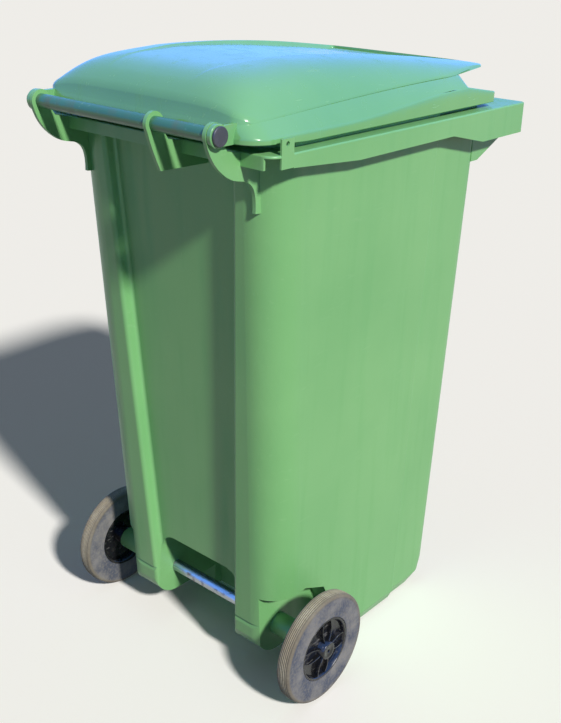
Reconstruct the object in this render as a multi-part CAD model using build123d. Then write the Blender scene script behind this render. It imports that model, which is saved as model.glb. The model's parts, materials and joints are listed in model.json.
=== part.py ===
from build123d import *
import math
import os

os.makedirs("parts", exist_ok=True)

# The bin stands on the floor at height zero, its lid front towards minus Y and its grip towards plus Y.
# Overall sizes, millimetres
overall_depth = 730.0  # front of the lifting rim to the back of the grip lugs
rim_width = 480.0
rim_height = 949.0  # top face of the rim above the floor
wheel_diameter = 200.0
tyre_width = 26.0
track_width = 531.0  # across the outer faces of the two tyres

# Wall thicknesses
tub_wall = 4.0
rim_wall = 3.5
lid_wall = 3.5
web_thickness = 6.0

# Clearances
running_fit = 0.08  # radial, between a turning bore and its pin; fixed pins have none
side_gap = 0.4  # along an axis, between neighbouring faces
rest_gap = 0.5  # under the lid pads

# Grip tube, the lugs that carry it and its end caps
tube_radius = 10.4
tube_wall = 2.2
lug_radius = 16.6
grip_rise = 26.6  # tube axis above the rim
lug_spacing = 360.0  # between the middles of the outer lugs
middle_lug_x = -68.0
lid_arm_width = 7.7
cap_head_radius = 13.4
cap_head_width = 3.7
cap_stem_length = 18.0

# Tub shape
side_slope = 0.0216
rear_slope = 0.06
front_slope = 0.0243
body_half_width_top = rim_width / 2 - 24.5
rear_corner_radius = 58.0
front_corner_radius = 32.0
base_side_radius = 28.0
base_front_radius = 55.0
panel_recess = 19.0
column_edge_top = 134.0
column_slope = 0.0464
side_step = 4.0  # the front corner columns stand in from the side walls by this
upstand_height = 5.0
upstand_step = 0.6  # from the outside of the tub's wall in to the foot of its upstand

# Wheels
axle_radius = 11.0
axle_forward = 181.0  # axle ahead of the grip tube
rim_ratio = 0.58  # hub rim to tyre diameter
hub_boss_radius = 16.0
hub_boss_proud = 6.8
latch_width = 4.0
latch_radius = 14.0
groove_depth = 1.5
spoke_count = 8
spoke_turn = 28.0  # from straight up to the first spoke

# Lid
lid_inset = 12.0  # lid skirt inside the edge of the rim
lid_lift = 8.0  # lid skirt above the rim
lid_rear_gap = 26.5  # grip tube axis to the back of the lid
lid_skirt_height = 18.0
dome_inset = 4.0
lip_thickness = 4.0
lid_recess = 8.0
edge_back = 33.0  # long top edges of the lid above its skirt's foot, at the back
edge_rise = 20.0  # how much higher they stand at the front of the dome
crown_rise = 57.0  # middle of the lid above those edges, where it is highest
crown_end = 4.0  # the same at the finger edge
crown_place = 164.0  # from the back of the lid to its highest place

# Worked out from the sizes above
grip_y = overall_depth / 2 - lug_radius
grip_z = rim_height + grip_rise
rim_front = -overall_depth / 2
rim_rear = grip_y - 48.5
rear_wall_top = grip_y - 79.0
front_wall_top = rim_front + 92.0
side_step_y = -0.18 * overall_depth
axle_y = grip_y - axle_forward
wheel_radius = wheel_diameter / 2
axle_z = wheel_radius
tyre_outer_x = track_width / 2
tyre_inner_x = tyre_outer_x - tyre_width
hub_rim_radius = rim_ratio * wheel_radius
hub_end_x = tyre_outer_x + hub_boss_proud
hub_start_x = tyre_inner_x - 2.5
housing_inner_x = 98.0
housing_outer_x = 158.0
housing_radius = 52.0
raised_floor = wheel_diameter * 0.985
lug_outer_x = lug_spacing / 2 + web_thickness / 2
arm_start_x = lug_outer_x + side_gap
arm_end_x = arm_start_x + lid_arm_width
cap_start_x = arm_end_x + side_gap
tube_half_length = cap_start_x - 0.1
axle_half_length = hub_end_x - 7.0
latch_x = axle_half_length - 9.0
lid_half_width = rim_width / 2 - lid_inset
lid_bottom = rim_height + lid_lift
lid_rear = grip_y - lid_rear_gap
lid_front = front_wall_top - 11.0
lip_front = rim_front + 63.0
dome_front = lip_front + 97.0
dome_half_width = lid_half_width - dome_inset
top_half_width = lid_half_width - 23.0


def below_rim(height):
    return rim_height - height


def half_width(height):
    return body_half_width_top - side_slope * below_rim(height)


def rear_wall(height):
    return rear_wall_top - rear_slope * below_rim(height)


def front_wall(height):
    return front_wall_top + front_slope * below_rim(height)


def column_edge(height):
    return column_edge_top - column_slope * below_rim(height)


def rounding(radius, height):
    """How far a quarter round of this radius stands in at a height above its foot."""
    if height >= radius:
        return 0.0
    return radius - math.sqrt(radius**2 - (radius - height) ** 2)


def mirrored(points):
    return points + [(-x, y) for x, y in reversed(points)]


def side_prism(points, start_x, end_x):
    """A plate cut to a side outline, from one distance off the middle to another."""
    outline = make_face(Polyline(*[(0, y, z) for y, z in points], close=True))
    return Pos(start_x, 0, 0) * extrude(outline, amount=end_x - start_x, dir=(1, 0, 0))


def both_sides(shape):
    return shape + mirror(shape, about=Plane.YZ)


def block(x_range, y_range, z_range):
    sizes = [high - low for low, high in (x_range, y_range, z_range)]
    middles = [(high + low) / 2 for low, high in (x_range, y_range, z_range)]
    return Pos(*middles) * Box(*sizes)


def rod(radius, start_x, end_x, y, z):
    turned = Rotation(0, 90, 0) * Cylinder(radius, end_x - start_x)
    return Pos((start_x + end_x) / 2, y, z) * turned


def tub_section(height, inset):
    """The tub's plan outline at one height, stood in by a wall thickness."""
    foot = max(height - inset, 0.0)
    side = half_width(height) - inset - rounding(base_side_radius, foot)
    rear = rear_wall(height) - inset
    front = front_wall(height) + inset + rounding(base_front_radius, foot)
    column = column_edge(height) + inset
    points = [
        (column, rear - panel_recess),
        (column + 5, rear),
        (side, rear),
        (side, side_step_y),
        (side - side_step, side_step_y - 1.5 * side_step),
        (side - side_step, front),
    ]
    radii = [6, 8, rear_corner_radius - inset, 3, 3, front_corner_radius - inset]
    outline = FilletPolyline(*mirrored(points), radius=radii + radii[::-1], close=True)
    return Pos(0, 0, height) * make_face(outline)


def tub_block(bottom, top, inset):
    rounds = [8.0, base_side_radius, base_front_radius]
    heights = [bottom] + [bottom + r for r in rounds] + [top]
    sections = [tub_section(height, inset) for height in heights]
    return loft(sections, ruled=True)


def rear_floor_block():
    """The room under the raised rear floor, taken out of the inside of the tub."""
    ramp_foot = axle_y - 127.0
    outline = [
        (ramp_foot, -10),
        (ramp_foot + 22, raised_floor),
        (rim_rear + 50, raised_floor),
        (rim_rear + 50, -10),
    ]
    return side_prism(outline, -rim_width, rim_width)


def arch_room():
    """The open arch between the two axle housings, through the back of the tub."""
    ramp_foot = axle_y - 127.0 + tub_wall
    top = raised_floor - 6.0
    arch = [(housing_inner_x, -10), (housing_inner_x, top)]
    front_view = FilletPolyline(*mirrored(arch), radius=[0, 35, 35, 0], close=True)
    face = Plane.XZ * make_face(front_view)
    tunnel = extrude(face, amount=2 * rim_width, both=True)
    outline = [
        (ramp_foot, -10),
        (ramp_foot + 21, top),
        (rim_rear + 60, top),
        (rim_rear + 60, -10),
    ]
    return tunnel & side_prism(outline, -rim_width, rim_width)


def wheel_wells():
    front = axle_y - 104.0
    outline = [
        (front, -10),
        (front + 3, axle_z),
        (front + 30, axle_z + 56),
        (axle_y - 22, axle_z + 80),
        (rim_rear + 60, axle_z + 72),
        (rim_rear + 60, -10),
    ]
    return both_sides(side_prism(outline, housing_outer_x, rim_width))


def housing_undercut():
    """Takes the foot of each axle housing back to a half round about the axle."""
    front = axle_y - 104.0
    low = block((-rim_width, rim_width), (front, rim_rear + 60), (-10, axle_z + 18))
    round_part = rod(housing_radius, -rim_width, rim_width, axle_y, axle_z)
    low_edge = axle_z - housing_radius
    web = block((-rim_width, rim_width), (front, axle_y), (low_edge, axle_z + 18))
    return low - round_part - web


def housing_pockets():
    start_x = housing_inner_x + tub_wall
    end_x = housing_outer_x - tub_wall
    y_range = (axle_y - 90, rear_wall(axle_z) - 2 * tub_wall)
    return both_sides(block((start_x, end_x), y_range, (-10, raised_floor - 10)))


def axle_bosses():
    return both_sides(rod(20, housing_inner_x, hub_start_x - side_gap, axle_y, axle_z))


def rim_outline(inset):
    side = rim_width / 2 - inset
    points = [(side, rim_rear - inset), (side, rim_front + inset)]
    radii = [20 - inset, 10 - inset]
    return make_face(FilletPolyline(*mirrored(points), radius=radii + radii[::-1], close=True))


def rim():
    """The flat rim with its turned-down flange, deeper at the front lifting edge."""
    flange_foot = rim_height - 51.0
    outer = Pos(0, 0, flange_foot) * extrude(rim_outline(0), amount=51.0)
    top_edges = outer.edges().group_by(Axis.Z)[-1]
    outer = fillet(top_edges, 2.5)
    inner = Pos(0, 0, flange_foot - 1) * extrude(rim_outline(rim_wall), amount=52.0 - rim_wall)
    front_low = rim_front + 135
    outline = [
        (front_low, flange_foot - 5),
        (front_low, flange_foot),
        (front_low + 92, rim_height - 30),
        (rim_rear - 190, rim_height - 31),
        (rim_rear - 45, rim_height - 20),
        (rim_rear + 9, rim_height - 20),
        (rim_rear + 9, flange_foot - 5),
    ]
    shallow = side_prism(outline, -rim_width, rim_width)
    corner_y = (rim_rear - 43, rim_rear + 9)
    corner_gap = both_sides(
        block((rim_width / 2 - 16, rim_width), corner_y, (flange_foot - 5, rim_height - rim_wall))
    )
    return outer - inner - shallow - corner_gap


def rim_ears():
    """The upright tabs that close the side flanges beside the lid's back corners."""
    outer_x = rim_width / 2
    y_range = (rim_rear - 43, rim_rear - 18)
    plate = block((outer_x - 3, outer_x), y_range, (rim_height - 19, rim_height + 21))
    slot = rod(3.5, outer_x - 9, outer_x + 9, rim_rear - 30, rim_height + 14)
    return both_sides(plate - slot)


def comb_ribs():
    """Upright ribs that stiffen the front lifting edge from below."""
    ribs = Part()
    for place in range(-3, 4):
        x = place * rim_width / 8
        ribs += block(
            (x - 1.5, x + 1.5),
            (rim_front + 2, front_wall(rim_height) + 2),
            (rim_height - 30, rim_height - 2),
        )
    return ribs


def gussets():
    """The three-cornered plates under the front corners of the rim."""
    front_y = front_wall_top
    foot = rim_height - 92.0
    outline = [
        (front_y + 24, foot),
        (front_y + 4, foot),
        (rim_front + 12, rim_height - 55),
        (rim_front + 12, rim_height - 2),
        (front_y + 24, rim_height - 2),
    ]
    outer_x = half_width(foot) - side_step
    return both_sides(side_prism(outline, outer_x - 3, outer_x))


def outer_lug_back():
    """The swept back edge of an outer lug, down from the tube and in to a narrow foot."""
    return [
        (0, grip_y + lug_radius, grip_z),
        (0, grip_y + 13, grip_z - 14),
        (0, grip_y - 1, grip_z - 39),
        (0, grip_y - 17, grip_z - 54),
        (0, grip_y - 38, grip_z - 65),
        (0, grip_y - 60, grip_z - 70),
        (0, grip_y - 73, grip_z - 79),
        (0, grip_y - 79, grip_z - 94),
        (0, grip_y - 80, grip_z - 118),
    ]


def middle_lug_back():
    """The middle lug's back edge hangs almost straight down to a square foot."""
    return [
        (0, grip_y + lug_radius, grip_z),
        (0, grip_y + 12, grip_z - 16),
        (0, grip_y + 3, grip_z - 40),
        (0, grip_y - 9, grip_z - 66),
    ]


def lug(middle_x, back_points):
    """One curved plate that rises from the back wall and wraps the grip tube."""
    back = Spline(*back_points)
    foot_z = back_points[-1][2] - 2
    rest = Polyline(
        back_points[-1],
        (0, rear_wall_top - panel_recess - 1.5, foot_z),
        (0, rear_wall_top - panel_recess - 1.5, rim_height - 2),
        (0, rim_rear - 1, rim_height - 2),
        (0, grip_y - 24, grip_z - 24),
        (0, grip_y - 14, grip_z - 9),
        (0, grip_y, grip_z + lug_radius - 1),
        (0, grip_y + lug_radius, grip_z),
    )
    face = make_face([back, rest])
    start_x = middle_x - web_thickness / 2
    plate = Pos(start_x, 0, 0) * extrude(face, amount=web_thickness, dir=(1, 0, 0))
    return plate + rod(lug_radius, start_x, start_x + web_thickness, grip_y, grip_z)


def rim_upstand():
    """The low lip round the mouth of the tub that the lid closes over; the hollow opens it."""
    outline = Pos(0, 0, -2) * tub_section(rim_height, upstand_step)
    return extrude(outline, amount=upstand_height + 2, dir=(0, 0, 1))


def tub():
    shell = tub_block(0, rim_height, 0)
    shell += rim()
    shell += rim_upstand()
    shell += gussets()
    shell += comb_ribs()
    for side in (-1, 1):
        shell += lug(side * lug_spacing / 2, outer_lug_back())
    shell += lug(middle_lug_x, middle_lug_back())
    inside = tub_block(tub_wall, rim_height + 30, tub_wall) - rear_floor_block()
    shell -= inside
    shell -= arch_room()
    shell -= wheel_wells()
    shell -= housing_undercut()
    shell -= housing_pockets()
    shell += axle_bosses()
    shell += rim_ears()
    shell -= rod(axle_radius, -rim_width, rim_width, axle_y, axle_z)
    shell -= rod(tube_radius, -rim_width, rim_width, grip_y, grip_z)
    return shell


def edge_height(y):
    """Height of the lid's long top edges above the lid's bottom, along the lid."""
    share = (lid_rear - y) / (lid_rear - dome_front)
    return edge_back + edge_rise * math.sin(min(max(share, 0.0), 1.0) * math.pi / 2)


def crown_height(y):
    """How far the middle of the lid stands above those edges."""
    crown_y = lid_rear - crown_place
    if y > crown_y:
        share = max(lid_rear + 6 - y, 0.0) / (lid_rear + 12 - crown_y)
        return crown_rise * (1 - (1 - share) ** 6)
    share = (crown_y - y) / (crown_y - lip_front)
    return crown_end + (crown_rise - crown_end) * (1 - share**1.3)


def lid_top(x, y):
    share = min(abs(x) / top_half_width, 1.0)
    return lid_bottom + edge_height(y) + crown_height(y) * (1 - share**3)


def pillow_section(y, inset, drop):
    """The lid's cross outline at one place along it."""
    foot = lid_bottom - 1 if inset else lid_bottom
    wide = dome_half_width - inset
    narrow = top_half_width - inset
    across = [narrow * step / 6 for step in range(-6, 7)]
    crown = [(x, y, lid_top(x, y) - inset - drop) for x in across]
    top = Spline(*crown)
    shoulder = lid_bottom + lid_skirt_height - inset - drop
    rest = Polyline(
        crown[-1],
        (wide, y, shoulder),
        (wide, y, foot),
        (-wide, y, foot),
        (-wide, y, shoulder),
        crown[0],
    )
    return make_face([top, rest])


def pillow(inset, drop, front, rear):
    """The lid's dome: cross outlines set closer together where it rises fast at the back."""
    stations = 10
    shares = [(step / (stations - 1)) ** 1.6 for step in range(stations)]
    places = [rear - (rear - front) * share for share in shares]
    return loft([pillow_section(y, inset, drop) for y in places])


def recess_prism(inset):
    """Plan of the sunk middle panel, wider at the front than at the back."""
    points = [(90 + inset, lid_rear - 22), (142 + inset, lip_front - 20)]
    face = make_face(Polyline(*mirrored(points), close=True))
    return Pos(0, 0, lid_bottom + 20) * extrude(face, amount=100)


def tilted_pillow(inset, front, rear):
    """The same pillow let down towards its front, which sets the panel's depth."""
    low = pillow(inset, 0, front, rear)
    tilt = math.degrees(math.atan(lid_recess / (lid_rear - lip_front)))
    hinge = (0, lid_rear, lid_bottom + 60)
    return Pos(*hinge) * Rotation(tilt, 0, 0) * Pos(*[-value for value in hinge]) * low


def sunk_pillow(inset, front, rear):
    whole = pillow(inset, 0, front, rear)
    low = tilted_pillow(inset, front - 30, rear + 5)
    return whole - (recess_prism(inset) - low)


def lid_tray_outline(inset):
    side = lid_half_width - inset
    points = [(side, lid_rear - inset), (side, lid_front + inset)]
    radii = [38 - inset, 14 - inset]
    return make_face(FilletPolyline(*mirrored(points), radius=radii + radii[::-1], close=True))


def lid_tray(inset):
    """The skirt of the lid, with the ledge that shows in front of the dome."""
    foot = lid_bottom - 2 if inset else lid_bottom
    base = Pos(0, 0, foot) * extrude(lid_tray_outline(inset), amount=60)
    low = lid_bottom + lid_skirt_height - inset
    outline = [
        (lid_front - 40, low - 2),
        (dome_front, low + 11),
        (lid_rear / 3, low),
        (lid_rear - 60, low - 4),
        (lid_rear, low + 14),
        (lid_rear + 40, low + 14),
        (lid_rear + 40, low + 90),
        (lid_front - 40, low + 90),
    ]
    return base - side_prism(outline, -rim_width, rim_width)


def lid_dome():
    """The dome, solid, with only its skin carried forward as a thin finger edge."""
    whole = sunk_pillow(0, lip_front - 1, lid_rear - 3)
    sides = (-rim_width, rim_width)
    ahead = block(sides, (lip_front - 40, dome_front), (lid_bottom - 20, lid_bottom + 150))
    points = [(top_half_width - 2, dome_front + 20), (top_half_width - 18, lip_front)]
    plan = make_face(FilletPolyline(*mirrored(points), radius=[0, 14, 14, 0], close=True))
    lip = Pos(0, 0, lid_bottom - 30) * extrude(plan, amount=200)
    under_lip = Pos(0, 0, -lip_thickness) * whole & ahead
    return whole - (ahead - lip) - under_lip


def lid_arm():
    """The flat arm at one back corner that turns on the end of the grip tube."""
    plate = block(
        (arm_start_x, arm_end_x),
        (lid_rear - 2, grip_y),
        (grip_z - 14.6, grip_z + 13.4),
    )
    return plate + rod(lug_radius - 0.4, arm_start_x, arm_end_x, grip_y, grip_z)


def lid_pads():
    """Short feet inside the skirt that meet the rim when the lid is shut."""
    outer_x = lid_half_width - 1
    top = lid_bottom + 12
    pads = Part()
    for y in (lid_front + 45, 0.0, lid_rear - 90):
        pads += block((outer_x - 9, outer_x), (y - 2, y + 2), (rim_height + rest_gap, top))
    return both_sides(pads)


def lid():
    shell = lid_tray(0) + lid_dome()
    hollow = lid_tray(lid_wall)
    hollow += sunk_pillow(lid_wall, dome_front + lid_wall, lid_rear - 3 - lid_wall)
    shell -= hollow
    shell += lid_pads()
    shell += both_sides(lid_arm())
    shell -= rod(tube_radius + running_fit, -rim_width, rim_width, grip_y, grip_z)
    shell -= both_sides(
        rod(lug_radius + 1.5, 0, lug_outer_x + side_gap, grip_y, grip_z)
    )
    return shell


def grip_tube():
    outer = rod(tube_radius, -tube_half_length, tube_half_length, grip_y, grip_z)
    bore = rod(tube_radius - tube_wall, -rim_width, rim_width, grip_y, grip_z)
    return outer - bore


def grip_cap(side):
    """The round plug that closes one end of the grip tube and keeps the lid arm on."""
    head_end = cap_start_x + cap_head_width
    head = rod(cap_head_radius, cap_start_x, head_end, grip_y, grip_z)
    head = chamfer(head.edges().group_by(Axis.X)[-1], 0.8)
    stem_radius = tube_radius - tube_wall
    stem = rod(stem_radius, cap_start_x - cap_stem_length, cap_start_x, grip_y, grip_z)
    plug = head + stem
    return plug if side > 0 else mirror(plug, about=Plane.YZ)


def axle():
    bar = rod(axle_radius, -axle_half_length, axle_half_length, axle_y, axle_z)
    ends = bar.edges().filter_by(GeomType.CIRCLE)
    bar = chamfer(ends, 1.5)
    neck = rod(axle_radius + 5, latch_x, latch_x + latch_width, axle_y, axle_z)
    core = rod(axle_radius - groove_depth, latch_x - 1, axle_half_length, axle_y, axle_z)
    return bar - both_sides(neck - core)


def tyre(side):
    """A solid rubber tyre with five shallow grooves round its tread."""
    body = rod(wheel_radius, tyre_inner_x, tyre_outer_x, axle_y, axle_z)
    body = fillet(body.edges().filter_by(GeomType.CIRCLE), 5.5)
    body -= rod(hub_rim_radius, tyre_inner_x - 5, tyre_outer_x + 5, axle_y, axle_z)
    middle_x = (tyre_inner_x + tyre_outer_x) / 2
    for place in range(-2, 3):
        x = middle_x + place * 3.4
        ring = rod(wheel_radius + 5, x - 0.6, x + 0.6, axle_y, axle_z)
        body -= ring - rod(wheel_radius - 1.0, x - 2, x + 2, axle_y, axle_z)
    return body if side > 0 else mirror(body, about=Plane.YZ)


def hub(side):
    """A moulded hub: rim, thin web, upright ribs as spokes, and a boss on the axle."""
    start_x = tyre_inner_x + 1
    end_x = tyre_outer_x - 1.5
    ring = rod(hub_rim_radius, start_x, end_x, axle_y, axle_z)
    ring -= rod(hub_rim_radius - 5, start_x - 5, end_x + 5, axle_y, axle_z)
    web_x = start_x + 5
    body = ring + rod(hub_rim_radius - 2, web_x, web_x + 3, axle_y, axle_z)
    body += rod(hub_boss_radius, hub_start_x, hub_end_x, axle_y, axle_z)
    rib_length = hub_rim_radius - hub_boss_radius
    for number in range(spoke_count):
        rib = block(
            (web_x + 2, end_x - 5),
            (-1.4, 1.4),
            (hub_boss_radius - 2, hub_boss_radius + rib_length - 3),
        )
        turn = spoke_turn + number * 360 / spoke_count
        body += Pos(0, axle_y, axle_z) * Rotation(turn, 0, 0) * rib
    body -= rod(axle_radius + running_fit, 0, axle_half_length + side_gap, axle_y, axle_z)
    seat_start_x = latch_x - side_gap
    seat_end_x = latch_x + latch_width + side_gap
    body -= rod(latch_radius, seat_start_x, seat_end_x, axle_y, axle_z)
    body -= rod(2.5, hub_end_x - 20, hub_end_x + 5, axle_y, axle_z)
    return body if side > 0 else mirror(body, about=Plane.YZ)


def wheel_latch(side):
    """The snap ring in the hub that sits in the axle's groove and keeps the wheel on."""
    start_x = latch_x + 0.3
    end_x = latch_x + latch_width - 0.3
    ring = rod(latch_radius, start_x, end_x, axle_y, axle_z)
    ring -= rod(axle_radius - groove_depth + side_gap, start_x - 1, end_x + 1, axle_y, axle_z)
    return ring if side > 0 else mirror(ring, about=Plane.YZ)


pieces = {
    "tub": tub(),
    "lid": lid(),
    "grip_tube": grip_tube(),
    "axle": axle(),
}
for name, side in (("near", -1), ("far", 1)):
    pieces["grip_cap_" + name] = grip_cap(side)
    pieces["tyre_" + name] = tyre(side)
    pieces["hub_" + name] = hub(side)
    pieces["wheel_latch_" + name] = wheel_latch(side)

for name, shape in pieces.items():
    export_step(shape, "parts/" + name + ".step")
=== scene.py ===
import json
import math
import bmesh
import bpy
import numpy as np
from mathutils import Matrix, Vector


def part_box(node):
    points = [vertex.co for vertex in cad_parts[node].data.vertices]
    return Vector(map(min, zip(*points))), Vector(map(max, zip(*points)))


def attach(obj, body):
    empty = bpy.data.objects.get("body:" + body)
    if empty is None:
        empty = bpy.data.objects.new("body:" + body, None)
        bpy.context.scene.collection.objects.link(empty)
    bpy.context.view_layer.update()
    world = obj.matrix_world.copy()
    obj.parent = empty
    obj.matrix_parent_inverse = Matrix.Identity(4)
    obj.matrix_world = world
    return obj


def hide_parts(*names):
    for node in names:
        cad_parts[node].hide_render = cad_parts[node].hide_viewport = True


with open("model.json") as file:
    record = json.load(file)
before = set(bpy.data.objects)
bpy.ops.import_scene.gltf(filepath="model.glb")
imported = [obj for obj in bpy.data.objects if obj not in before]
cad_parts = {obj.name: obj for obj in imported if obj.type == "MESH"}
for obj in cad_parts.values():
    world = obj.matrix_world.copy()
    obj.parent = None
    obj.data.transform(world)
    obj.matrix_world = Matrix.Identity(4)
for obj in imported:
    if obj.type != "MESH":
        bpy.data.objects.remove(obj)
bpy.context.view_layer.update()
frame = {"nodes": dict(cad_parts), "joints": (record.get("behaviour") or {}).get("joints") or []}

# A wheeled litter bin of moulded polyethylene. It stands on z = 0 with its grip towards +y.
# Tub, grip tube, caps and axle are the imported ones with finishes; lid, tyres and hubs are made here.
# Shapes are worked out in millimetres and go into the meshes in metres.
mm = 0.001
joints = {joint["name"]: joint for joint in frame["joints"]}
hingeY, hingeZ = [value / mm for value in joints["lid_hinge"]["pos_m"][1:]]


def boxOf(node):
    low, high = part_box(node)
    return np.array(low) / mm, np.array(high) / mm


print("frame loaded:", len(frame["nodes"]), "nodes")


def stand(thing, right, back, place):
    # puts a camera or lamp at place, looking away from back
    matrix = np.eye(4)
    matrix[:3, 0] = right
    matrix[:3, 1] = np.cross(back, right)
    matrix[:3, 2] = back
    matrix[:3, 3] = place
    bpy.context.scene.collection.objects.link(thing)
    thing.matrix_world = Matrix(matrix.tolist())


cameraSetup = {
    "place": (-1.1085, 1.2893, 1.2331),     # metres; beside the bin, on its grip side
    "yaw": -0.863,                          # radians, from +x
    "pitch": -0.408,
    "roll": 0.025,
    "lens": 65.9,                           # mm
    "sensor": 36.0,                         # mm wide
}


def makeCamera(c):
    data = bpy.data.cameras.new("camera")
    data.lens = c["lens"]
    data.sensor_width = c["sensor"]
    data.sensor_fit = "HORIZONTAL"
    forward = np.array([math.cos(c["pitch"]) * math.cos(c["yaw"]),
                        math.cos(c["pitch"]) * math.sin(c["yaw"]),
                        math.sin(c["pitch"])])
    level = np.cross(forward, (0, 0, 1))
    level = level / np.linalg.norm(level)
    upright = np.cross(level, forward)
    right = math.cos(c["roll"]) * level + math.sin(c["roll"]) * upright
    thing = bpy.data.objects.new("camera", data)
    stand(thing, right, -forward, c["place"])
    bpy.context.scene.camera = thing


lightSetup = {
    "sunPlace": (-7.5, 2.2, 6.6),
    "sunAim": (0.0, 0.0, 0.55),
    "sunSpread": 5.0,           # degrees, softens the shadow's edge
    "sunPower": 4.0,
    "sunColour": "#FFFAF2",
    "sky": "#D5E4F5",           # what lights the shaded side
    "skyStrength": 0.17,
    "backdrop": "#EFEEEB",      # what the camera itself sees past the floor
    "skyGloss": "#6FA4FF",      # what shows in glossy surfaces
    "skyGlossStrength": 2.4,
}


def linear(hexColour):
    # sRGB hex to the linear values that shaders and lights want
    parts = [int(hexColour[i:i + 2], 16) / 255 for i in (1, 3, 5)]
    return [p / 12.92 if p <= 0.04045 else ((p + 0.055) / 1.055) ** 2.4 for p in parts] + [1.0]


def addNode(tree, kind, settings=None, links=None):
    # one shader node, its settings by property or socket name, its links by socket name
    node = tree.nodes.new("ShaderNode" + kind)
    for name, value in (settings or {}).items():
        if name == "stops":
            while len(node.color_ramp.elements) < len(value):
                node.color_ramp.elements.new(0.5)
            for element, (place, colour) in zip(node.color_ramp.elements, value):
                element.position = place
                element.color = colour
        elif isinstance(name, str) and name in node.bl_rna.properties:
            setattr(node, name, value)
        else:
            node.inputs[name].default_value = value
    for name, source in (links or {}).items():
        tree.links.new(source, node.inputs[name])
    return node


def makeLights(setup):
    data = bpy.data.lights.new("sun", "SUN")
    data.angle = math.radians(setup["sunSpread"])
    data.energy = setup["sunPower"]
    data.color = linear(setup["sunColour"])[:3]
    place = np.array(setup["sunPlace"])
    back = place - np.array(setup["sunAim"])
    back = back / np.linalg.norm(back)
    side = np.cross((0, 0, 1), back)
    side = side / np.linalg.norm(side)
    stand(bpy.data.objects.new("sun", data), side, back, place)
    world = bpy.data.worlds.new("soft sky")
    world.use_nodes = True
    tree = world.node_tree
    fill = tree.nodes["Background"]
    fill.inputs["Color"].default_value = linear(setup["sky"])
    fill.inputs["Strength"].default_value = setup["skyStrength"]
    gloss = addNode(tree, "Background", {"Color": linear(setup["skyGloss"]),
                                         "Strength": setup["skyGlossStrength"]})
    backdrop = addNode(tree, "Background", {"Color": linear(setup["backdrop"])})
    ray = addNode(tree, "LightPath")
    unseen = addNode(tree, "MixShader", None, {0: ray.outputs["Is Glossy Ray"], 1: fill.outputs[0],
                                               2: gloss.outputs[0]})
    seen = addNode(tree, "MixShader", None, {0: ray.outputs["Is Camera Ray"], 1: unseen.outputs[0],
                                             2: backdrop.outputs[0]})
    tree.links.new(seen.outputs[0], tree.nodes["World Output"].inputs["Surface"])
    bpy.context.scene.world = world
    bpy.context.scene.view_settings.view_transform = "Standard"


def newMaterial(name):
    material = bpy.data.materials.new(name)
    material.use_nodes = True
    tree = material.node_tree
    return material, tree, tree.nodes["Principled BSDF"]


def grey(value):
    return (value, value, value, 1.0)


def perMetre(size):
    # texture scale for a detail this many millimetres across
    return 1.0 / (size * mm)


def speckle(tree, place, size, low, high, detail=4.0, stretch=None):
    # soft noise of one grain size, cut to the band between low and high
    if stretch:
        place = addNode(tree, "Mapping", {"Scale": stretch}, {"Vector": place}).outputs["Vector"]
    noise = addNode(tree, "TexNoise", {"Scale": perMetre(size), "Detail": detail}, {"Vector": place})
    ramp = addNode(tree, "ValToRGB", {"stops": [(low, grey(0)), (high, grey(1))]},
                   {"Fac": noise.outputs["Fac"]})
    return ramp.outputs["Color"]


def blend(tree, share, first, second, strength=1.0):
    # first where share is 0, second where it is 1
    amount = addNode(tree, "Math", {"operation": "MULTIPLY", 1: strength}, {0: share}).outputs[0]
    mix = addNode(tree, "Mix", {"data_type": "RGBA"}, {0: amount})
    for socket, colour in ((6, first), (7, second)):
        if isinstance(colour, str):
            mix.inputs[socket].default_value = linear(colour)
        else:
            tree.links.new(colour, mix.inputs[socket])
    return mix.outputs[2]


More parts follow.
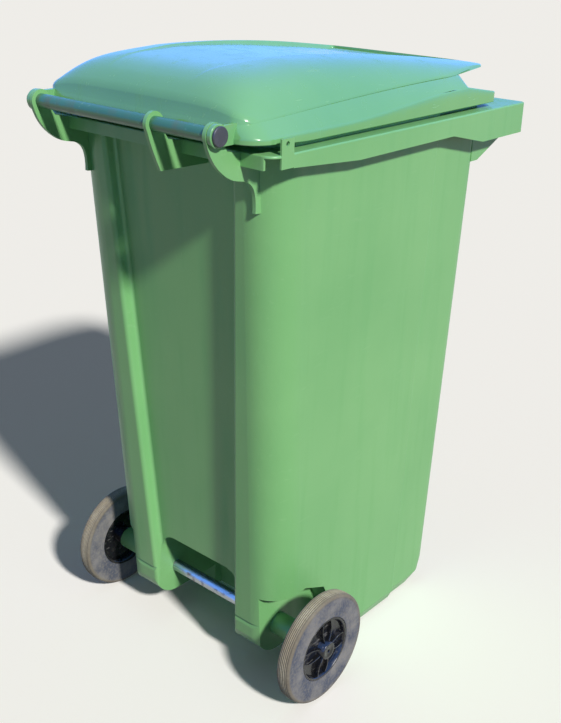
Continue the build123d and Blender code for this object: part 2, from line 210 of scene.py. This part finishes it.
def mouldedHdpe(name, p):
    # High-density polyethylene, injection moulded and left outdoors: a waxy half gloss with a faint
    # orange-peel skin, chalky sun-faded patches, thin scuffs, and dirt that gathers towards the foot.
    material, tree, shader = newMaterial(name)
    place = addNode(tree, "TexCoord").outputs["Object"]
    fade = speckle(tree, place, 260, 0.35, 0.68)
    streak = speckle(tree, place, 22, 0.50, 0.74, stretch=(1.0, 1.0, 0.07))
    scuff = speckle(tree, place, 9, 0.655, 0.70, detail=8.0, stretch=(1.0, 0.16, 1.0))
    dust = speckle(tree, place, 2.2, 0.60, 0.80, detail=2.0)
    height = addNode(tree, "SeparateXYZ", None, {"Vector": place}).outputs["Z"]
    foot = addNode(tree, "MapRange", {"From Min": p["dirtTop"], "From Max": 0.0, "To Min": 0.25,
                                      "To Max": 1.0}, {"Value": height}).outputs["Result"]
    dustAtFoot = addNode(tree, "Math", {"operation": "MULTIPLY"}, {0: dust, 1: foot}).outputs[0]
    worn = addNode(tree, "Math", {"operation": "MAXIMUM"}, {0: streak, 1: scuff}).outputs[0]
    colour = blend(tree, fade, p["colour"], p["faded"], 0.75)
    colour = blend(tree, streak, colour, p["dirt"], p["dirtShare"])
    colour = blend(tree, dustAtFoot, colour, p["dirt"], 0.55)
    colour = blend(tree, scuff, colour, p["scuffed"], p["scuffShare"])
    tree.links.new(colour, shader.inputs["Base Color"])
    rough = addNode(tree, "MapRange", {"To Min": p["roughness"], "To Max": p["roughness"] + 0.16},
                    {"Value": worn})
    tree.links.new(rough.outputs["Result"], shader.inputs["Roughness"])
    peel = addNode(tree, "TexNoise", {"Scale": perMetre(3.5), "Detail": 2.0}, {"Vector": place})
    waves = addNode(tree, "TexNoise", {"Scale": perMetre(90), "Detail": 1.0}, {"Vector": place})
    skin = addNode(tree, "Bump", {"Strength": 0.18, "Distance": 0.25 * mm},
                   {"Height": peel.outputs["Fac"]})
    sag = addNode(tree, "Bump", {"Strength": 0.5, "Distance": p["wave"] * mm},
                  {"Height": waves.outputs["Fac"], "Normal": skin.outputs["Normal"]})
    tree.links.new(sag.outputs["Normal"], shader.inputs["Normal"])
    shader.inputs["IOR"].default_value = 1.54
    return material


def dustyRubber(name, centreY, centreZ):
    # Solid carbon-black rubber, compression moulded: matt, greyed by dust on the wall and browned by
    # dried mud on the tread; the grooves between the tread ribs carry a painted shade, darker than the
    # mud.
    material, tree, shader = newMaterial(name)
    place = addNode(tree, "TexCoord").outputs["Object"]
    centred = addNode(tree, "Mapping", {"Location": (0, -centreY * mm, -centreZ * mm),
                                        "Scale": (0, 1, 1)}, {"Vector": place}).outputs["Vector"]
    radius = addNode(tree, "VectorMath", {"operation": "LENGTH"}, {0: centred}).outputs["Value"]
    tread = addNode(tree, "MapRange", {"From Min": 91 * mm, "From Max": 96 * mm}, {"Value": radius})
    groove = addNode(tree, "MapRange", {"From Min": 98.9 * mm, "From Max": 99.6 * mm},
                     {"Value": radius})
    # mask of the grooves between the tread ribs, used for painted shade
    grooveShade = addNode(tree, "Math", {"operation": "SUBTRACT", 0: 1.0}, {1: groove.outputs["Result"]})
    patches = speckle(tree, place, 38, 0.38, 0.64)
    grit = speckle(tree, place, 4.5, 0.44, 0.66)
    wall = blend(tree, patches, "#4B505C", "#7E7D7D")
    wall = blend(tree, grit, wall, "#8C887F", 0.40)
    mud = blend(tree, patches, "#9A917E", "#AFA998")
    mud = blend(tree, grit, mud, "#7A7366", 0.4)
    # painted shade: the grooves between the tread ribs are darkened towards #4A443B
    mud = blend(tree, grooveShade.outputs[0], mud, "#4A443B", 0.6)
    tree.links.new(blend(tree, tread.outputs["Result"], wall, mud), shader.inputs["Base Color"])
    shader.inputs["Roughness"].default_value = 0.82
    shader.inputs["IOR"].default_value = 1.52
    crumb = addNode(tree, "TexNoise", {"Scale": perMetre(2.0), "Detail": 6.0}, {"Vector": place})
    bump = addNode(tree, "Bump", {"Strength": 0.6, "Distance": 0.4 * mm},
                   {"Height": crumb.outputs["Fac"]})
    tree.links.new(bump.outputs["Normal"], shader.inputs["Normal"])
    return material


def blackPolypropylene(name, p):
    # Black polypropylene, injection moulded against polished steel: deep gloss, with grey dust and
    # hairline scratches that break it up.
    material, tree, shader = newMaterial(name)
    place = addNode(tree, "TexCoord").outputs["Object"]
    dust = speckle(tree, place, 14, 0.52, 0.78)
    scratch = speckle(tree, place, 5, 0.64, 0.68, detail=8.0, stretch=p["scratchWay"])
    colour = blend(tree, dust, p["colour"], "#77726A", p["dust"])
    colour = blend(tree, scratch, colour, "#C9C9C9", p["scratches"])
    tree.links.new(colour, shader.inputs["Base Color"])
    rough = addNode(tree, "MapRange", {"To Min": p["roughness"], "To Max": 0.7}, {"Value": dust})
    tree.links.new(rough.outputs["Result"], shader.inputs["Roughness"])
    shader.inputs["IOR"].default_value = 1.49
    grain = addNode(tree, "TexNoise", {"Scale": perMetre(2.5), "Detail": 3.0}, {"Vector": place})
    bump = addNode(tree, "Bump", {"Strength": 0.2, "Distance": 0.15 * mm},
                   {"Height": grain.outputs["Fac"]})
    tree.links.new(bump.outputs["Normal"], shader.inputs["Normal"])
    return material


def galvanisedSteel(name, p):
    # Cold-drawn bar, zinc plated: pale grey metal dulled to a soft sheen, drawn lines along its
    # length, and brown spots where the zinc has gone.
    material, tree, shader = newMaterial(name)
    place = addNode(tree, "TexCoord").outputs["Object"]
    rust = speckle(tree, place, 12, 0.58, 0.72)
    drawn = speckle(tree, place, 2.0, 0.3, 0.7, stretch=(0.03, 1.0, 1.0))
    colour = blend(tree, drawn, p["colour"], p["dull"])
    colour = blend(tree, rust, colour, "#7A5A42", p["rust"])
    tree.links.new(colour, shader.inputs["Base Color"])
    metal = addNode(tree, "MapRange", {"To Min": 1.0, "To Max": 0.35}, {"Value": rust})
    tree.links.new(metal.outputs["Result"], shader.inputs["Metallic"])
    rough = addNode(tree, "MapRange", {"To Min": p["roughness"], "To Max": 0.75}, {"Value": rust})
    tree.links.new(rough.outputs["Result"], shader.inputs["Roughness"])
    bump = addNode(tree, "Bump", {"Strength": 0.3, "Distance": 0.1 * mm}, {"Height": drawn})
    tree.links.new(bump.outputs["Normal"], shader.inputs["Normal"])
    return material


makeCamera(cameraSetup)
makeLights(lightSetup)
wheelY, wheelZ = [value / mm for value in joints["wheel_near_spin"]["pos_m"][1:]]
tubGreen = mouldedHdpe("moulded HDPE, tub green", {
    "colour": "#72B070", "faded": "#7FBA7A", "dirt": "#6F8458", "scuffed": "#A9CFA0",
    "dirtShare": 0.04, "scuffShare": 0.10, "dirtTop": 0.30, "roughness": 0.40, "wave": 0.8})
lidGreen = mouldedHdpe("moulded HDPE, lid green", {
    "colour": "#69A96E", "faded": "#77B478", "dirt": "#7C9468", "scuffed": "#B5D6AE",
    "dirtShare": 0.04, "scuffShare": 0.06, "dirtTop": 0.30, "roughness": 0.17, "wave": 0.5})
gripGreen = mouldedHdpe("extruded HDPE, grip green", {
    "colour": "#37704F", "faded": "#437D5C", "dirt": "#6B5B45", "scuffed": "#8DB69C",
    "dirtShare": 0.45, "scuffShare": 0.30, "dirtTop": 0.30, "roughness": 0.34, "wave": 0.1})
tyreRubber = dustyRubber("moulded solid rubber, dusty", wheelY, wheelZ)
hubBlack = blackPolypropylene("moulded polypropylene, hub black", {
    "colour": "#17181C", "dust": 0.22, "scratches": 0.15, "roughness": 0.18,
    "scratchWay": (1.0, 0.2, 1.0)})
capCharcoal = blackPolypropylene("moulded nylon, cap charcoal", {
    "colour": "#3E3F47", "dust": 0.25, "scratches": 0.85, "roughness": 0.38,
    "scratchWay": (1.0, 0.25, 1.0)})
axleZinc = galvanisedSteel("drawn steel, zinc plated", {
    "colour": "#B9BDBD", "dull": "#8E9496", "rust": 0.7, "roughness": 0.38})
ringSteel = galvanisedSteel("rolled spring steel, blued", {
    "colour": "#5D646B", "dull": "#454B52", "rust": 0.3, "roughness": 0.32})
print("materials ready")


def gridQuads(rows, cols, wrapRows, wrapCols):
    # corner numbers of the quads between the points of a rows by cols grid
    row = np.arange(rows if wrapRows else rows - 1)[:, None]
    col = np.arange(cols if wrapCols else cols - 1)[None, :]
    nextRow = (row + 1) % rows
    nextCol = (col + 1) % cols
    corners = [row * cols + col, row * cols + nextCol, nextRow * cols + nextCol, nextRow * cols + col]
    return np.stack(corners, axis=-1).reshape(-1, 4)


def makePiece(name, sheets, material, sharp=38.0):
    # one mesh from several sheets, each (points in mm, wrap over rows, wrap over columns)
    points = []
    quads = []
    count = 0
    for grid, wrapRows, wrapCols in sheets:
        rows, cols = grid.shape[:2]
        points.append(grid.reshape(-1, 3) * mm)
        quads.append(gridQuads(rows, cols, wrapRows, wrapCols) + count)
        count += rows * cols
    points = np.concatenate(points)
    quads = np.concatenate(quads)
    mesh = bpy.data.meshes.new(name)
    mesh.from_pydata(points.tolist(), [], quads.tolist())
    tidy = bmesh.new()
    tidy.from_mesh(mesh)
    bmesh.ops.remove_doubles(tidy, verts=tidy.verts, dist=0.01 * mm)
    bmesh.ops.dissolve_degenerate(tidy, edges=tidy.edges, dist=0.001 * mm)
    bmesh.ops.recalc_face_normals(tidy, faces=tidy.faces)
    tidy.to_mesh(mesh)
    tidy.free()
    mesh.shade_smooth()
    mesh.set_sharp_from_angle(angle=math.radians(sharp))
    mesh.materials.append(material)
    thing = bpy.data.objects.new(name, mesh)
    bpy.context.scene.collection.objects.link(thing)
    return thing


def finishNode(node, material):
    slots = frame["nodes"][node].material_slots
    if not slots:
        frame["nodes"][node].data.materials.append(material)
    for slot in slots:
        slot.material = material


lidLow, lidHigh = boxOf("lid")
tubeLow, tubeHigh = boxOf("grip_tube")
lidShape = {
    "half": lidHigh[0],                     # middle to the outside of the skirt
    "rear": hingeY - 26.5,
    "front": lidLow[1] + 18.0,              # front of the skirt
    "lipFront": lidLow[1],                  # front of the finger edge
    "domeFront": lidLow[1] + 97.0,
    "foot": hingeZ - 18.6,                  # foot of the skirt
    "topHalf": lidHigh[0] - 23.0,
    "wall": 3.5,
    "edgeBack": 33.0,                       # long top edges above the foot, at the back
    "edgeRise": 20.0,
    "crown": 51.0,                          # middle of the lid above those edges
    "crownEnd": 4.0,
    "crownY": 158.0,                        # where the crown is highest
    "archPower": 6,                         # higher is flatter across, with a tighter shoulder
    "backPower": 6,                         # higher rises faster from the back edge
    "frontPower": 1.3,
    "panelRear": 90.0,                      # half widths of the sunk panel
    "panelFront": 142.0,
    "panelDepth": 8.0,
    "panelBack": 22.0,                      # back of the lid to where the panel starts to sink
    "lipTaper": 20.0,
}


def easeStep(t):
    t = np.clip(t, 0.0, 1.0)
    return t * t * (3 - 2 * t)


def edgeHeight(s, y):
    # a quarter sine from the back up to the front of the dome
    share = np.clip((s["rear"] - y) / (s["rear"] - s["domeFront"]), 0.0, 1.0)
    return s["foot"] + s["edgeBack"] + s["edgeRise"] * np.sin(share * math.pi / 2)


def crownHeight(s, y):
    # rises fast behind the highest place and falls away slowly before it
    behind = np.clip((s["rear"] + 6 - y) / (s["rear"] + 12 - s["crownY"]), 0.0, 1.0)
    before = np.clip((s["crownY"] - y) / (s["crownY"] - s["lipFront"]), 0.0, 1.0)
    back = s["crown"] * (1 - (1 - behind) ** s["backPower"])
    front = s["crownEnd"] + (s["crown"] - s["crownEnd"]) * (1 - before ** s["frontPower"])
    return np.where(y > s["crownY"], back, front)


def lidTop(s, x, y):
    # edge height plus an arch across the lid that falls as a power of the way out
    across = np.minimum(np.abs(x) / s["topHalf"], 1.0)
    return edgeHeight(s, y) + crownHeight(s, y) * (1 - across ** s["archPower"])


def panelHalf(s, y):
    share = (s["rear"] - s["panelBack"] - y) / (s["rear"] - s["panelBack"] - s["lipFront"])
    return s["panelRear"] + (s["panelFront"] - s["panelRear"]) * share


def panelSink(s, y):
    share = (s["rear"] - s["panelBack"] - y) / (s["rear"] - s["lipFront"])
    return s["panelDepth"] * np.clip(share * 1.6, 0.0, 1.0)


def skirtTop(s, y):
    # the skirt grows towards the front, then its ledge falls away before the dome
    grown = s["foot"] + 13 + 18 * easeStep((150 - y) / 330)
    return grown - 15 * np.clip((-190 - y) / 94, 0.0, 1.0)


def skirtFoot(s, y):
    return s["foot"] + 5 * easeStep((y - 200) / 110)


def roundPlan(rearHalf, frontHalf, rear, front, rearRadius, frontRadius, counts=(12, 10, 84, 8, 14)):
    # plan of a four-cornered shape with arcs for corners: back edge, arc, side, arc, front edge,
    # worked out for one half and mirrored
    lean = math.atan2(frontHalf - rearHalf, rear - front)
    parts = []
    ends = []
    for centreY, radius, start, end, count in (
            (rear - rearRadius, rearRadius, math.pi / 2, lean, counts[1]),
            (front + frontRadius, frontRadius, lean, -math.pi / 2, counts[3])):
        centreX = rearHalf + (rear - centreY) * math.tan(lean) - radius / math.cos(lean)
        angle = np.linspace(start, end, count)
        arc = np.stack([centreX + radius * np.cos(angle), centreY + radius * np.sin(angle)], axis=1)
        ends.append(arc)
    parts.append(np.linspace((0, rear), ends[0][0], counts[0], endpoint=False))
    parts.append(ends[0])
    parts.append(np.linspace(ends[0][-1], ends[1][0], counts[2] + 1, endpoint=False)[1:])
    parts.append(ends[1])
    parts.append(np.linspace(ends[1][-1], (0, front), counts[4] + 1)[1:])
    half = np.concatenate(parts)
    other = half[1:-1][::-1] * (-1, 1)
    return np.concatenate([half, other])


def lidRing(plan, height):
    return np.column_stack([plan, height(plan[:, 0], plan[:, 1])])


def tapered(s, plan):
    # the finger edge narrows towards its tips
    forward = easeStep((-150 - plan[:, 1]) / (-150 - s["lipFront"]))
    narrowed = plan.copy()
    narrowed[:, 0] *= 1 - s["lipTaper"] / s["topHalf"] * forward
    return narrowed


def lidShell(s):
    # Rings of points stacked from the middle of the underside, out and down the inside, round the foot,
    # up the outside, out under the finger edge and over the top to the sunk panel and its middle.
    half, rear, front, dome, lip = s["half"], s["rear"], s["front"], s["domeFront"], s["lipFront"]
    wall = s["wall"]
    rings = []

    def under(x, y):
        step = easeStep((panelHalf(s, y) + 7 - np.abs(x)) / 6)
        return lidTop(s, x, y) - wall - 0.5 - step * panelSink(s, y)

    inner = roundPlan(half - 27, half - 27, rear - 13, dome + 8, 26, 16)
    middle = np.array([0.0, 0.0])
    for share in np.linspace(0, 1, 26) ** 0.8:
        rings.append(lidRing(middle + (inner - middle) * share, under))
    def edge(x, y):
        return edgeHeight(s, y)

    def foot(x, y):
        return skirtFoot(s, y)

    def skirt(x, y):
        return skirtTop(s, y)

    def top(x, y):
        return lidTop(s, x, y)

    # in from the side at the back and at the front, in from the back, front place, corner radii,
    # what the ring's height follows and how far above it, and whether it narrows with the lip
    for sideBack, sideFront, back, frontY, rearRadius, frontRadius, base, rise, narrow in (
            (24, 24, 9, dome + 6, 27, 18, edge, -9, False),
            (10, 10, 6, dome + 3, 30, 20, skirt, -wall, False),
            (wall + 1, wall + 1, wall, front + wall, 34, 12, skirt, -wall, False),
            (wall, wall, wall, front + wall, 34, 12, foot, 0, False),
            (0.8, 0.8, 0.8, front + 0.8, 37, 13, foot, 0, False),
            (0, 0, 0, front, 38, 14, foot, 0.9, False),
            (0, 0, 0, front, 38, 14, skirt, -2.4, False),
            (0.4, 0.4, 0.3, front + 0.7, 37, 13, skirt, -0.9, False),
            (1.2, 1.2, 0.6, front + 2.2, 36, 12, skirt, 0, False),
            (2.4, 2.4, 1.0, dome - 1.5, 34, 20, skirt, 0.7, False),
            (3.4, 3.4, 1.4, dome, 33, 20, skirt, 1.9, False),
            (19.5, 19.5, 3.5, dome + 2, 30, 20, edge, -5.2, False),
            (20.3, 23, 4.2, dome + 3, 29, 18, edge, -4.2, False),
            (20.6, 20.6, 4.6, lip + 2, 28, 14, top, -4.0, True),
            (20.9, 20.9, 5.2, lip + 0.4, 28, 15, top, -3.0, True),
            (21.4, 21.4, 6.4, lip, 28, 15, top, -1.6, True),
            (22.4, 22.4, 8.2, lip + 0.5, 27, 14, top, -0.5, True)):
        plan = roundPlan(half - sideBack, half - sideFront, rear - back, frontY, rearRadius, frontRadius)
        plan = tapered(s, plan) if narrow else plan
        rings.append(lidRing(plan, lambda x, y: base(x, y) + rise))
    border = tapered(s, roundPlan(half - 24, half - 24, rear - 10.5, lip + 2, 26, 13))
    panel = roundPlan(s["panelRear"], s["panelFront"], rear - 26, lip + 5, 10, 6)
    for share in np.linspace(0, 1, 30):
        plan = border + (panel - border) * share
        rings.append(lidRing(plan, top))
    for inset, depth in ((1.2, 0.12), (2.6, 0.5), (4.0, 0.88), (5.4, 1.0)):
        plan = roundPlan(s["panelRear"] - inset, s["panelFront"] - inset, rear - 26 - inset,
                         lip + 5 + 0.2 * inset, 10, 6)
        rings.append(lidRing(plan, lambda x, y, d=depth: lidTop(s, x, y) - d * panelSink(s, y)))
    floor = roundPlan(s["panelRear"] - 5.4, s["panelFront"] - 5.4, rear - 31.4, lip + 6.1, 10, 6)
    for share in np.linspace(1, 0, 34)[1:]:
        plan = middle + (floor - middle) * share
        rings.append(lidRing(plan, lambda x, y: lidTop(s, x, y) - panelSink(s, y)))
    return np.stack(rings)


armShape = {
    "width": 7.7,
    "endGap": 0.3,                          # end of the grip tube out past the arm
    "eye": 16.0,                            # radius of the ring round the tube
    "bore": 10.48,
    "above": 13.2,                          # edges of the plate over and under the hinge
    "below": 14.4,
    "overlap": 6.0,                         # plate runs this far into the lid
    "chamfer": 0.8,
}


def lidArm(s, a, side):
    # a flat plate round the grip tube: in polar terms about the hinge its edge is a circle, let out
    # to a rectangle towards the lid; a closed chamfered section runs round that edge
    outer = tubeHigh[0] - a["endGap"]
    inner = outer - a["width"]
    reach = hingeY - s["rear"] + a["overlap"]
    angle = np.linspace(0, 2 * math.pi, 144, endpoint=False)
    across, rise = np.cos(angle), np.sin(angle)
    with np.errstate(divide="ignore"):
        toLid = np.where(across < 0, reach / np.maximum(-across, 1e-6), 1e6)
        toEdge = np.where(rise > 0, a["above"] / np.maximum(rise, 1e-6),
                          a["below"] / np.maximum(-rise, 1e-6))
    plate = np.where(across < 0, np.minimum(toLid, toEdge), 0.0)
    edge = np.maximum(plate, a["eye"])
    bore = np.full_like(edge, a["bore"])
    cut = a["chamfer"]
    section = [(inner, bore + cut), (inner, edge - cut), (inner + cut, edge), (outer - cut, edge),
               (outer, edge - cut), (outer, bore + cut), (outer - cut, bore), (inner + cut, bore)]
    columns = [np.column_stack([np.full_like(radius, side * x), hingeY + radius * across,
                                hingeZ + radius * rise]) for x, radius in section]
    return np.stack(columns, axis=1)


def makeLid():
    s = lidShape
    sheets = [(lidShell(s), False, True)]
    for side in (-1, 1):
        sheets.append((lidArm(s, armShape, side), True, True))
    lid = makePiece("lid_shell", sheets, lidGreen)
    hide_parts("lid")
    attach(lid, "lid")


makeLid()
print("lid made")

tyreShape = {
    "treadCrown": 0.6,
    "shoulder": 5.5,
    "ribPitch": 3.4,
    "ribDepth": 1.1,
    "ribHalf": 9.6,                         # ribs reach this far each side of the middle
    "bulge": 0.8,
    "seatLine": 9.0,                        # fine ring line, out from the seat
    "treadLine": 89.0,                      # radius of the one below the tread
}


def spinProfile(x, radius, centreY, centreZ, count):
    # carries a closed profile of (x, radius) round the wheel's axis
    angle = np.linspace(0, 2 * math.pi, count, endpoint=False)[:, None]
    return np.stack([np.broadcast_to(x, (count, len(x))),
                     centreY + radius * np.sin(angle),
                     centreZ + radius * np.cos(angle)], axis=-1)


def tyreProfile(s, low, high, seat):
    # tread with cosine ribs, quarter-round shoulders, walls that bulge as half a sine, flat seat
    middle = (low[0] + high[0]) / 2
    halfWidth = (high[0] - low[0]) / 2
    outer = (high[2] - low[2]) / 2
    flat = halfWidth - s["shoulder"]
    across = np.linspace(-flat, flat, 61)
    tread = outer - s["treadCrown"] * (across / flat) ** 2
    turn = np.linspace(0, math.pi / 2, 9)[1:]
    shoulderX = flat + s["shoulder"] * np.sin(turn)
    shoulderR = outer - s["treadCrown"] - s["shoulder"] * (1 - np.cos(turn))
    wallR = np.linspace(shoulderR[-1], seat + 0.6, 26)[1:]
    wallX = halfWidth - s["bulge"] * (1 - np.sin(math.pi * (wallR - seat) / (shoulderR[-1] - seat)))
    wallX = wallX - 0.5 * np.exp(-((wallR - seat - s["seatLine"]) / 1.0) ** 2)
    wallX = wallX - 0.35 * np.exp(-((wallR - s["treadLine"]) / 0.8) ** 2)
    x = np.concatenate([across, shoulderX, wallX, [halfWidth - 2], [2 - halfWidth],
                        -wallX[::-1], -shoulderX[::-1]])
    r = np.concatenate([tread, shoulderR, wallR, [seat], [seat], wallR[::-1], shoulderR[::-1]])
    ribbed = (np.abs(x) < s["ribHalf"]) & (r > outer - 3)
    wave = 0.5 - 0.5 * np.cos(2 * math.pi * x / s["ribPitch"])
    r = r - np.where(ribbed, s["ribDepth"] * wave ** 1.5, 0.0)
    return middle + x, r


hubShape = {
    "rimWall": 4.6,
    "dish": 9.0,                            # web behind the outer face of the rim
    "web": 3.0,
    "boss": 16.0,
    "bore": 11.08,
    "spokes": 8,
    "spokeTurn": 17.0,                      # degrees from level to the first spoke
    "spokeBend": 0.24,                      # radians that a spoke's end is swept, left and right in turn
    "spokeWidth": 2.2,
}


def hubProfile(s, low, high, tyreLow, tyreHigh, seat):
    # closed half section of rim, web and boss, measured outwards from the bin's middle
    face = tyreHigh - 1.5
    back = tyreLow + 1.0
    webOut = face - s["dish"]
    webIn = webOut - s["web"]
    inside = seat - s["rimWall"]
    boss = s["boss"]
    points = [
        (back, seat), (face - 0.6, seat), (face, seat - 0.8), (face, inside + 0.9),
        (face - 0.9, inside), (webOut + 2.5, inside - 1.4), (webOut + 0.8, inside - 2.4),
        (webOut, inside - 5), (webOut + 1.0, 34), (webOut + 2.4, boss + 4),
        (webOut + 3.4, boss + 1.2), (webOut + 5, boss + 0.3), (high - 1.4, boss - 0.6),
        (high - 0.4, boss - 1.3), (high, boss - 2.4), (high, 9.0), (high - 0.8, 8.0),
        (high - 0.8, 3.4), (high - 1.6, 2.5), (high - 6.4, 2.5), (high - 6.6, s["bore"]),
        (low, s["bore"]), (low, boss - 1), (low + 1, boss), (webIn, boss + 1), (webIn - 0.6, 34),
        (webIn, inside - 2), (back + 1, inside), (back, inside + 1),
    ]
    return np.array(points)


def hubSpoke(s, turn, sweep, xFoot, xBoss, xRim, reach):
    # a thin wall along a swept line: the angle grows with the square of the way out, and a
    # six-point section rounds its top edge
    way = np.linspace(0, 1, 22)
    radius = s["boss"] - 2 + (reach - s["boss"] + 2) * way
    angle = turn + sweep * way ** 2
    top = xBoss + (xRim - xBoss) * way ** 1.4
    half = s["spokeWidth"] / 2
    columns = []
    for offset, drop in ((-1.25, None), (-1.0, 1.4), (-0.55, 0.3),
                         (0.55, 0.3), (1.0, 1.4), (1.25, None)):
        x = np.full_like(way, xFoot) if drop is None else top - drop
        a = angle + offset * half / radius
        columns.append(np.column_stack([x, radius * np.cos(a), radius * np.sin(a)]))
    return np.stack(columns, axis=1)


def makeWheel(name, side):
    low, high = boxOf("tyre_" + name)
    hubLow, hubHigh = boxOf("hub_" + name)
    tyreLow, tyreHigh = sorted(abs(value) for value in (low[0], high[0]))
    hubIn, hubOut = sorted(abs(value) for value in (hubLow[0], hubHigh[0]))
    seat = (hubHigh[2] - hubLow[2]) / 2
    x, r = tyreProfile(tyreShape, low, high, seat)
    tyre = makePiece("tyre_ribbed_" + name, [(spinProfile(x, r, wheelY, wheelZ, 144), True, True)],
                     tyreRubber, 50.0)
    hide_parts("tyre_" + name)
    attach(tyre, "wheel_" + name)
    s = hubShape
    section = hubProfile(s, hubIn, hubOut, tyreLow, tyreHigh, seat - 0.05)
    sheets = [(spinProfile(side * section[:, 0], section[:, 1], wheelY, wheelZ, 120), True, True)]
    face = tyreHigh - 1.5
    for number in range(s["spokes"]):
        turn = math.radians(s["spokeTurn"] + number * 360 / s["spokes"])
        sweep = s["spokeBend"] if number % 2 else -s["spokeBend"]
        spoke = hubSpoke(s, turn, sweep, face - s["dish"] - 1, hubOut - 5.5, face - 1.5,
                         seat - s["rimWall"] + 1)
        placed = spoke * (side, -1, 1) + (0, wheelY, wheelZ)
        sheets.append((placed, False, True))
    hub = makePiece("hub_petal_" + name, sheets, hubBlack, 40.0)
    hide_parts("hub_" + name)
    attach(hub, "wheel_" + name)


for wheelName, wheelSide in (("near", -1), ("far", 1)):
    makeWheel(wheelName, wheelSide)
    finishNode("grip_cap_" + wheelName, capCharcoal)
    finishNode("wheel_latch_" + wheelName, ringSteel)
finishNode("tub", tubGreen)
finishNode("grip_tube", gripGreen)
finishNode("axle", axleZinc)
print("wheels made, packed nodes finished")


floorSetup = {
    "half": 30000.0,                        # mm each way from the middle
    "drop": 0.5,                            # below the wheels and the foot of the tub
    "colour": "#FBFBFA",
    "roughness": 0.9,
}


def makeFloor(f):
    # plain pale ground, far wider than the view
    material, _, shader = newMaterial("pale floor")
    shader.inputs["Base Color"].default_value = linear(f["colour"])
    shader.inputs["Roughness"].default_value = f["roughness"]
    shader.inputs["Specular IOR Level"].default_value = 0.0
    span = np.linspace(-f["half"], f["half"], 2)
    grid = np.stack(np.meshgrid(span, span, [-f["drop"]]), axis=-1).reshape(2, 2, 3)
    floor = makePiece("floor", [(grid, False, False)], material)
    floor.visible_diffuse = False  # throws no light back up, so the shaded side stays deep


makeFloor(floorSetup)
